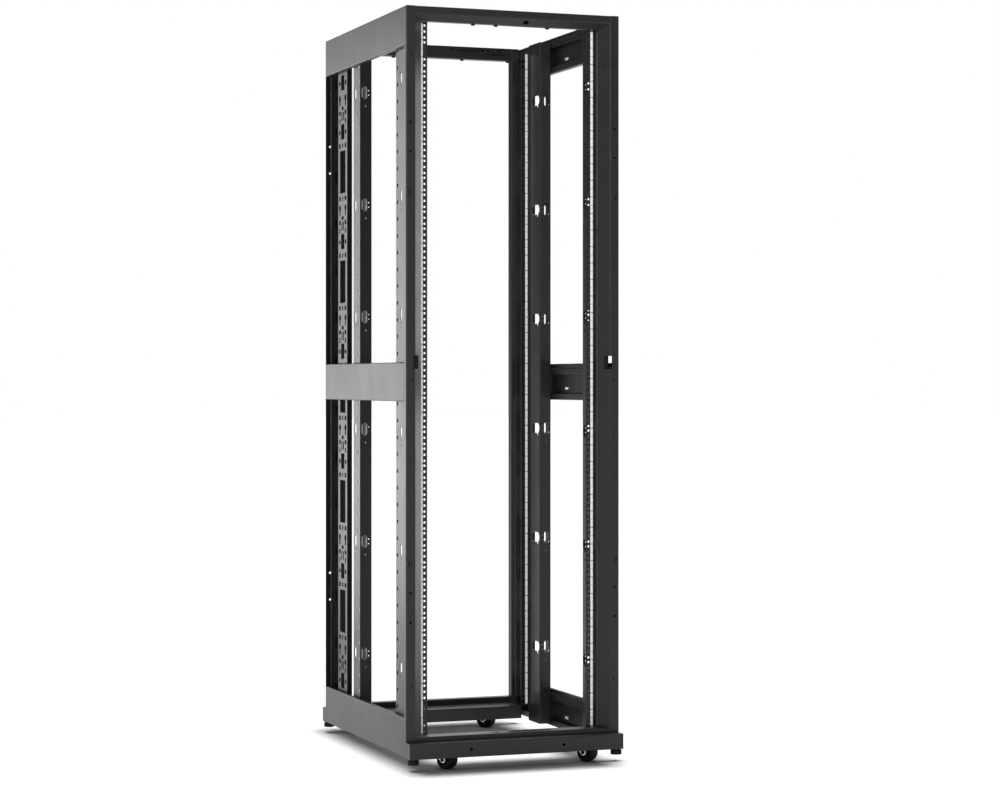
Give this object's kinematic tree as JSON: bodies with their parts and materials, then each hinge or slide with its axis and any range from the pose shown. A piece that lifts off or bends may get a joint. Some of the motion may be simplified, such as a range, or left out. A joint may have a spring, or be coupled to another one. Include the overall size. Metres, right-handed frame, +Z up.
{
  "type": "network server rack cabinet",
  "caption": "Open 19 inch server cabinet frame with slotted mounting rails, perforated side channels, swivel casters and levelling feet.",
  "frame": {"origin": "on the floor at the centre of the footprint", "axes": "+X to the cabinet's right seen from the front, +Y to the rear, +Z up; the front faces -Y"},
  "size_m": [0.6, 0.8, 1.991],
  "materials": {
    "frame_coat": "fine textured powder coat, charcoal",
    "rail_coat": "fine textured powder coat, charcoal",
    "unit_strip": "matt printed film",
    "zinc_screw": "zinc plated",
    "zinc_sheet": "zinc plated, slightly dull",
    "wheel_core": "moulded nylon",
    "tyre": "smooth cast tread",
    "foot_rubber": "moulded",
    "axle_black": "blackened"
  },
  "bodies": {
    "frame": {"post_front_left": "frame_coat", "post_front_right": "frame_coat", "post_rear_left": "frame_coat", "post_rear_right": "frame_coat", "header_front": "frame_coat", "header_rear": "frame_coat", "sill_front": "frame_coat", "sill_rear": "frame_coat", "beam_top_left": "frame_coat", "beam_top_right": "frame_coat", "brace_left": "frame_coat", "brace_right": "frame_coat", "beam_bottom_left": "frame_coat", "beam_bottom_right": "frame_coat", "plinth_front": "frame_coat", "plinth_rear": "frame_coat", "channel_left": "frame_coat", "channel_right": "frame_coat", "frame_screws": "axle_black", "earth_lugs": "zinc_sheet", "caster_plates": "zinc_sheet", "caster_bolts": "zinc_screw", "kingpins": "zinc_screw", "foot_nuts": "zinc_screw"},
    "mounting_rail_front_left": {"rail_front_left": "rail_coat", "unit_strip_front_left": "unit_strip", "rail_screws_front_left": "zinc_screw"},
    "caster_front_left": {"fork_front_left": "zinc_sheet", "axle_front_left": "axle_black"},
    "wheel_front_left": {"hub_front_left": "wheel_core", "tyre_front_left": "tyre"},
    "foot_front_left": {"pad_front_left": "foot_rubber"},
    "foot_stem_front_left": {"stem_front_left": "zinc_screw"},
    "mounting_rail_front_right": {"rail_front_right": "rail_coat", "unit_strip_front_right": "unit_strip", "rail_screws_front_right": "zinc_screw"},
    "caster_front_right": {"fork_front_right": "zinc_sheet", "axle_front_right": "axle_black"},
    "wheel_front_right": {"hub_front_right": "wheel_core", "tyre_front_right": "tyre"},
    "foot_front_right": {"pad_front_right": "foot_rubber"},
    "foot_stem_front_right": {"stem_front_right": "zinc_screw"},
    "mounting_rail_rear_left": {"rail_rear_left": "rail_coat", "unit_strip_rear_left": "unit_strip", "rail_screws_rear_left": "zinc_screw"},
    "caster_rear_left": {"fork_rear_left": "zinc_sheet", "axle_rear_left": "axle_black"},
    "wheel_rear_left": {"hub_rear_left": "wheel_core", "tyre_rear_left": "tyre"},
    "foot_rear_left": {"pad_rear_left": "foot_rubber"},
    "foot_stem_rear_left": {"stem_rear_left": "zinc_screw"},
    "mounting_rail_rear_right": {"rail_rear_right": "rail_coat", "unit_strip_rear_right": "unit_strip", "rail_screws_rear_right": "zinc_screw"},
    "caster_rear_right": {"fork_rear_right": "zinc_sheet", "axle_rear_right": "axle_black"},
    "wheel_rear_right": {"hub_rear_right": "wheel_core", "tyre_rear_right": "tyre"},
    "foot_rear_right": {"pad_rear_right": "foot_rubber"},
    "foot_stem_rear_right": {"stem_rear_right": "zinc_screw"}
  },
  "joints": [
    {"name": "rail_depth_front_left", "type": "slide", "parent": "frame", "child": "mounting_rail_front_left", "axis": [0, 1, 0], "range_m": [0, 0.14]},
    {"name": "swivel_front_left", "type": "hinge", "parent": "frame", "child": "caster_front_left", "pos_m": [-0.198, -0.337, 0.06], "axis": [0, 0, 1], "continuous": true},
    {"name": "roll_front_left", "type": "hinge", "parent": "caster_front_left", "child": "wheel_front_left", "pos_m": [-0.184, -0.36125, 0.025], "axis": [0.866, 0.5, 0], "continuous": true},
    {"name": "foot_height_front_left", "type": "slide", "parent": "frame", "child": "foot_front_left", "axis": [0, 0, 1], "range_m": [-0.024, 0.002]},
    {"name": "foot_turn_front_left", "type": "hinge", "parent": "foot_front_left", "child": "foot_stem_front_left", "pos_m": [-0.285, -0.385, 0.03], "axis": [0, 0, 1], "range_deg": [-6930, 594]},
    {"name": "rail_depth_front_right", "type": "slide", "parent": "frame", "child": "mounting_rail_front_right", "axis": [0, 1, 0], "range_m": [0, 0.14]},
    {"name": "swivel_front_right", "type": "hinge", "parent": "frame", "child": "caster_front_right", "pos_m": [0.198, -0.337, 0.06], "axis": [0, 0, 1], "continuous": true},
    {"name": "roll_front_right", "type": "hinge", "parent": "caster_front_right", "child": "wheel_front_right", "pos_m": [0.212, -0.36125, 0.025], "axis": [0.866, 0.5, 0], "continuous": true},
    {"name": "foot_height_front_right", "type": "slide", "parent": "frame", "child": "foot_front_right", "axis": [0, 0, 1], "range_m": [-0.024, 0.002]},
    {"name": "foot_turn_front_right", "type": "hinge", "parent": "foot_front_right", "child": "foot_stem_front_right", "pos_m": [0.285, -0.385, 0.03], "axis": [0, 0, 1], "range_deg": [-6930, 594]},
    {"name": "rail_depth_rear_left", "type": "slide", "parent": "frame", "child": "mounting_rail_rear_left", "axis": [0, 1, 0], "range_m": [-0.14, 0.02]},
    {"name": "swivel_rear_left", "type": "hinge", "parent": "frame", "child": "caster_rear_left", "pos_m": [-0.198, 0.32, 0.06], "axis": [0, 0, 1], "continuous": true},
    {"name": "roll_rear_left", "type": "hinge", "parent": "caster_rear_left", "child": "wheel_rear_left", "pos_m": [-0.21524, 0.34206, 0.025], "axis": [-0.788, -0.6157, 0], "continuous": true},
    {"name": "foot_height_rear_left", "type": "slide", "parent": "frame", "child": "foot_rear_left", "axis": [0, 0, 1], "range_m": [-0.024, 0.002]},
    {"name": "foot_turn_rear_left", "type": "hinge", "parent": "foot_rear_left", "child": "foot_stem_rear_left", "pos_m": [-0.285, 0.385, 0.03], "axis": [0, 0, 1], "range_deg": [-6930, 594]},
    {"name": "rail_depth_rear_right", "type": "slide", "parent": "frame", "child": "mounting_rail_rear_right", "axis": [0, 1, 0], "range_m": [-0.14, 0.02]},
    {"name": "swivel_rear_right", "type": "hinge", "parent": "frame", "child": "caster_rear_right", "pos_m": [0.198, 0.32, 0.06], "axis": [0, 0, 1], "continuous": true},
    {"name": "roll_rear_right", "type": "hinge", "parent": "caster_rear_right", "child": "wheel_rear_right", "pos_m": [0.18076, 0.34206, 0.025], "axis": [-0.788, -0.6157, 0], "continuous": true},
    {"name": "foot_height_rear_right", "type": "slide", "parent": "frame", "child": "foot_rear_right", "axis": [0, 0, 1], "range_m": [-0.024, 0.002]},
    {"name": "foot_turn_rear_right", "type": "hinge", "parent": "foot_rear_right", "child": "foot_stem_rear_right", "pos_m": [0.285, 0.385, 0.03], "axis": [0, 0, 1], "range_deg": [-6930, 594]}
  ],
  "couplings": [
    {"joint": "foot_turn_front_left", "follows": "foot_height_front_left", "rad_per_m": 5026.5},
    {"joint": "foot_turn_front_right", "follows": "foot_height_front_right", "rad_per_m": 5026.5},
    {"joint": "foot_turn_rear_left", "follows": "foot_height_rear_left", "rad_per_m": 5026.5},
    {"joint": "foot_turn_rear_right", "follows": "foot_height_rear_right", "rad_per_m": 5026.5}
  ]
}
